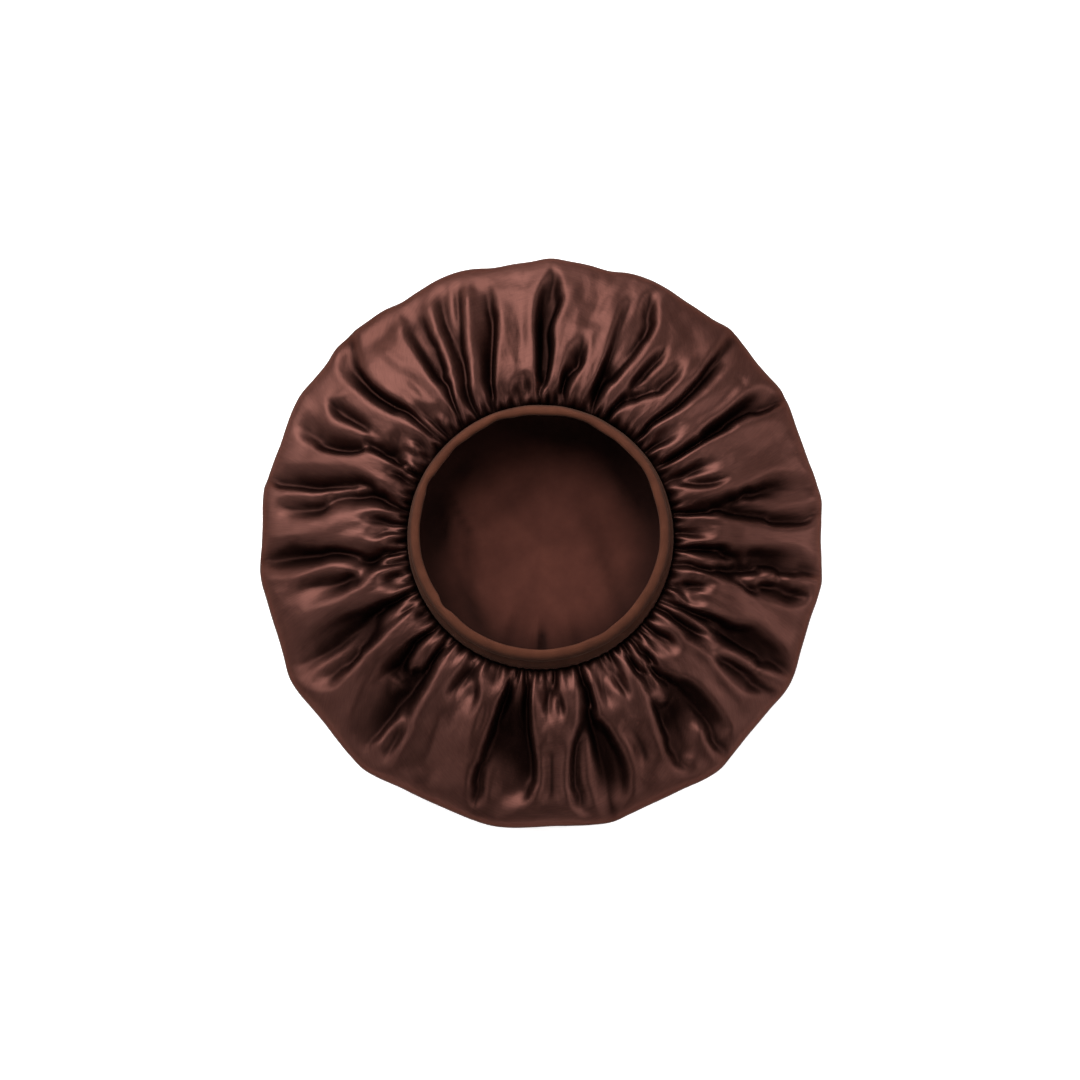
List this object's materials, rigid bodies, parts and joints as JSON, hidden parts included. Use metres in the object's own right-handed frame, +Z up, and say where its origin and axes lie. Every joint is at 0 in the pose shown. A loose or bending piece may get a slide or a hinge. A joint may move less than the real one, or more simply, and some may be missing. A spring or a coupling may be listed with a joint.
{
  "type": "sleep bonnet",
  "caption": "Round gathered satin sleep bonnet with a knit elastic band, lying on its crown with the opening up.",
  "frame": {"origin": "centre of the footprint, on the surface that the bonnet lies on", "axes": "+Z up, out of the opening; +X and +Y across the crown, with -Y the side nearest the viewer"},
  "size_m": [0.3524, 0.3558, 0.0593],
  "materials": {
    "satin": "dark brown satin, glossy outside, dull inside",
    "knit": "matt brown knit over elastic"
  },
  "bodies": {
    "root": {"satin_crown": "satin", "elastic_band": "knit"}
  },
  "joints": []
}
